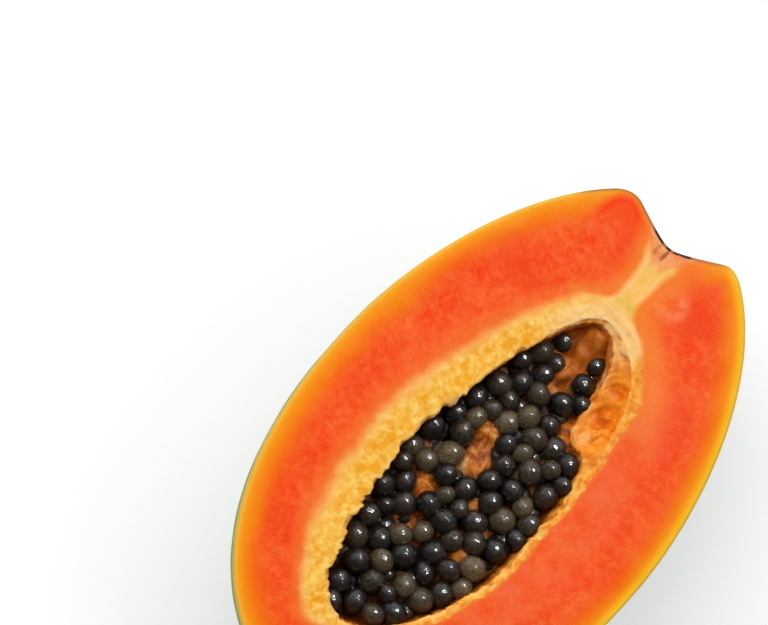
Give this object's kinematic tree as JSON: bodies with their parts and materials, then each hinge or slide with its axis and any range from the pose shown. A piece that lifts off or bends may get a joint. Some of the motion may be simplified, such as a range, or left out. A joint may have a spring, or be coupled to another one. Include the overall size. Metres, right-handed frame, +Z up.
{
  "type": "papaya half",
  "caption": "Half of a ripe papaya cut lengthways, lying on its green-gold skin with orange flesh and black seeds facing up.",
  "frame": {"origin": "under the middle of the half, on the surface it lies on", "axes": "+Z up out of the cut face, +Y towards the stem end, +X to the right when the cut face is seen from above with the stem end up"},
  "size_m": [0.0952, 0.1516, 0.0468],
  "materials": {
    "fruit": "moist orange-red flesh, green and yellow skin underneath",
    "seeds": "wet black seeds in a thin grey jelly coat"
  },
  "bodies": {
    "root": {"fruit_half": "fruit", "seeds": "seeds"}
  },
  "joints": []
}
